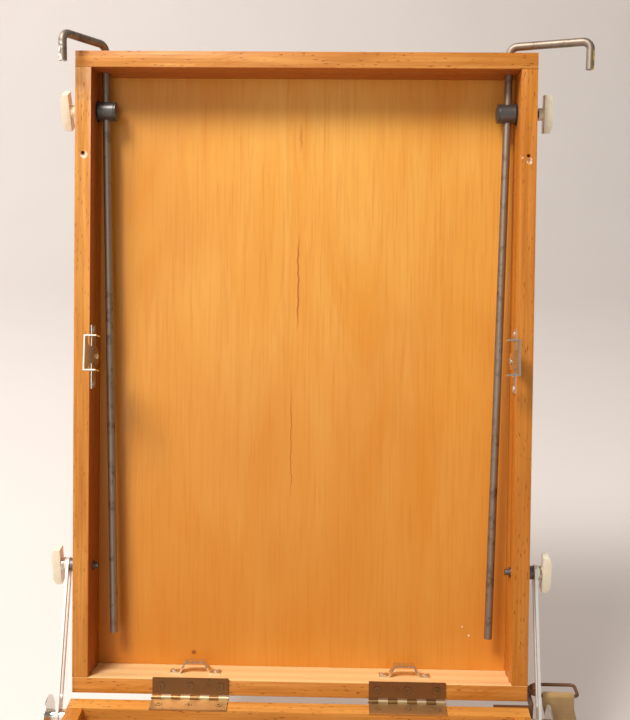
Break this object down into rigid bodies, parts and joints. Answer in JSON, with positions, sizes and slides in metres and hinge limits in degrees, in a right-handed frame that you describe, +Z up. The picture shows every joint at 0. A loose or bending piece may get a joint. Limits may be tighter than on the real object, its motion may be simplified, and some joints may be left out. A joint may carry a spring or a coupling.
{
  "type": "french box easel",
  "caption": "Wooden box easel with hinged lid, slotted stays, canvas rods, drawer, folding telescopic legs and shoulder strap.",
  "frame": {"origin": "on the ground under the middle of the box", "axes": "+Z up, painter stands at -Y, +X to the painter's right"},
  "size_m": [0.4752, 0.7625, 0.6851],
  "materials": {
    "beech": "satin varnish",
    "honey_plywood": "satin varnish",
    "pale_board": "bare sanded",
    "pale_wood": "bare sanded",
    "aged_brass": "aged",
    "bright_brass": "polished",
    "nickel": "polished nickel plate",
    "dark_steel": "blackened",
    "blue_grey_steel": "satin",
    "rod_steel": "drawn bright",
    "ivory_plastic": "gloss",
    "brown_metal": "bronzed",
    "webbing": "woven",
    "black_rubber": "matte"
  },
  "bodies": {
    "box": {"box_side_left": "beech", "box_side_right": "beech", "box_rear_wall": "beech", "box_bottom": "pale_board", "box_runners": "beech", "box_hinge_leaves": "bright_brass", "hinge_pins": "bright_brass", "box_screws": "bright_brass", "stay_pivots": "nickel", "strap_brackets": "brown_metal", "leg_brackets": "nickel"},
    "lid": {"lid_side_left": "beech", "lid_side_right": "beech", "lid_top_rail": "beech", "lid_bottom_rail": "beech", "lid_panel": "honey_plywood", "lid_hinge_leaves": "aged_brass", "lid_screws": "aged_brass", "canvas_rests": "nickel", "clip_plates": "nickel", "stay_bolts": "dark_steel", "latch_strikes": "nickel", "clamp_barrel_left": "blue_grey_steel", "clamp_barrel_right": "blue_grey_steel"},
    "drawer": {"drawer_front": "beech", "drawer_sides": "pale_wood", "drawer_back": "pale_wood", "drawer_bottom": "pale_board", "drawer_dividers": "pale_wood", "drawer_pull": "nickel", "latch_bases": "nickel"},
    "strap": {"strap": "webbing", "strap_rings": "brown_metal", "strap_buckle": "brown_metal"},
    "side_clip_left": {"side_clip_left": "nickel"},
    "rod_left": {"rod_left": "rod_steel"},
    "rod_knob_left": {"rod_knob_left": "ivory_plastic"},
    "stay_knob_left": {"stay_knob_left": "ivory_plastic"},
    "stay_left": {"stay_left": "nickel"},
    "latch_left": {"latch_left": "nickel"},
    "leg_upper_left": {"leg_upper_left": "beech"},
    "leg_lower_left": {"leg_lower_left": "pale_wood", "leg_tip_left": "black_rubber"},
    "leg_knob_left": {"leg_knob_left": "ivory_plastic"},
    "side_clip_right": {"side_clip_right": "nickel"},
    "rod_right": {"rod_right": "rod_steel"},
    "rod_knob_right": {"rod_knob_right": "ivory_plastic"},
    "stay_knob_right": {"stay_knob_right": "ivory_plastic"},
    "stay_right": {"stay_right": "nickel"},
    "latch_right": {"latch_right": "nickel"},
    "leg_upper_right": {"leg_upper_right": "beech"},
    "leg_lower_right": {"leg_lower_right": "pale_wood", "leg_tip_right": "black_rubber"},
    "leg_knob_right": {"leg_knob_right": "ivory_plastic"},
    "leg_upper_rear": {"leg_upper_rear": "beech"},
    "leg_knob_rear": {"leg_knob_rear": "ivory_plastic"},
    "leg_lower_rear": {"leg_lower_rear": "pale_wood", "leg_tip_rear": "black_rubber"}
  },
  "joints": [
    {"name": "lid_hinge", "type": "hinge", "parent": "box", "child": "lid", "pos_m": [0, 0.2825, 0.1215], "axis": [1, 0, 0], "range_deg": [0, 104]},
    {"name": "stay_left_pivot", "type": "hinge", "parent": "box", "child": "stay_left", "pos_m": [-0.2077, 0.267, 0.111], "axis": [1, 0, 0], "range_deg": [0, 98.8]},
    {"name": "side_clip_left_swing", "type": "hinge", "parent": "lid", "child": "side_clip_left", "pos_m": [-0.1829, 0.37012, 0.40678], "axis": [1, 0, 0], "range_deg": [-64, 76]},
    {"name": "rod_left_slide", "type": "slide", "parent": "lid", "child": "rod_left", "axis": [-0.0209, 0.2419, 0.9701], "range_m": [0, 0.4]},
    {"name": "rod_knob_left_turn", "type": "hinge", "parent": "lid", "child": "rod_knob_left", "pos_m": [-0.214, 0.43358, 0.61584], "axis": [1, 0, 0], "continuous": true},
    {"name": "stay_knob_left_turn", "type": "hinge", "parent": "lid", "child": "stay_knob_left", "pos_m": [-0.2152, 0.32876, 0.22436], "axis": [1, 0, 0], "continuous": true},
    {"name": "latch_left_swing", "type": "hinge", "parent": "drawer", "child": "latch_left", "pos_m": [-0.115, -0.286, 0.112], "axis": [1, 0, 0], "range_deg": [-180, 0]},
    {"name": "leg_left_fold", "type": "hinge", "parent": "box", "child": "leg_upper_left", "pos_m": [-0.209, -0.245, 0.066], "axis": [1, 0, 0], "range_deg": [-98, 0]},
    {"name": "leg_left_extend", "type": "slide", "parent": "leg_upper_left", "child": "leg_lower_left", "axis": [0, 1, 0], "range_m": [0, 0.4]},
    {"name": "leg_knob_left_turn", "type": "hinge", "parent": "leg_upper_left", "child": "leg_knob_left", "pos_m": [-0.209, 0.217, 0.066], "axis": [0, 0, 1], "continuous": true},
    {"name": "stay_right_pivot", "type": "hinge", "parent": "box", "child": "stay_right", "pos_m": [0.2077, 0.267, 0.111], "axis": [1, 0, 0], "range_deg": [0, 98.8]},
    {"name": "side_clip_right_swing", "type": "hinge", "parent": "lid", "child": "side_clip_right", "pos_m": [0.1829, 0.37012, 0.40678], "axis": [1, 0, 0], "range_deg": [-64, 76]},
    {"name": "rod_right_slide", "type": "slide", "parent": "lid", "child": "rod_right", "axis": [0.0209, 0.2419, 0.9701], "range_m": [0, 0.4]},
    {"name": "rod_knob_right_turn", "type": "hinge", "parent": "lid", "child": "rod_knob_right", "pos_m": [0.214, 0.43358, 0.61584], "axis": [1, 0, 0], "continuous": true},
    {"name": "stay_knob_right_turn", "type": "hinge", "parent": "lid", "child": "stay_knob_right", "pos_m": [0.2152, 0.32876, 0.22436], "axis": [1, 0, 0], "continuous": true},
    {"name": "latch_right_swing", "type": "hinge", "parent": "drawer", "child": "latch_right", "pos_m": [0.115, -0.286, 0.112], "axis": [1, 0, 0], "range_deg": [-180, 0]},
    {"name": "leg_right_fold", "type": "hinge", "parent": "box", "child": "leg_upper_right", "pos_m": [0.209, -0.245, 0.066], "axis": [1, 0, 0], "range_deg": [-98, 0]},
    {"name": "leg_right_extend", "type": "slide", "parent": "leg_upper_right", "child": "leg_lower_right", "axis": [0, 1, 0], "range_m": [0, 0.4]},
    {"name": "leg_knob_right_turn", "type": "hinge", "parent": "leg_upper_right", "child": "leg_knob_right", "pos_m": [0.209, 0.217, 0.066], "axis": [0, 0, 1], "continuous": true},
    {"name": "drawer_slide", "type": "slide", "parent": "box", "child": "drawer", "axis": [0, -1, 0], "range_m": [0, 0.4]},
    {"name": "strap_swing", "type": "hinge", "parent": "box", "child": "strap", "pos_m": [0.207, 0, 0.1275], "axis": [0, -1, 0], "range_deg": [0, 45]},
    {"name": "leg_rear_fold", "type": "hinge", "parent": "box", "child": "leg_upper_rear", "pos_m": [0, 0.245, 0.014], "axis": [1, 0, 0], "range_deg": [0, 112]},
    {"name": "leg_rear_extend", "type": "slide", "parent": "leg_upper_rear", "child": "leg_lower_rear", "axis": [0, -1, 0], "range_m": [0, 0.4]},
    {"name": "leg_knob_rear_turn", "type": "hinge", "parent": "leg_upper_rear", "child": "leg_knob_rear", "pos_m": [0, -0.217, 0.014], "axis": [1, 0, 0], "continuous": true}
  ],
  "couplings": [
    {"joint": "stay_left_pivot", "follows": "lid_hinge", "ratio": 0.95},
    {"joint": "stay_right_pivot", "follows": "lid_hinge", "ratio": 0.95}
  ]
}
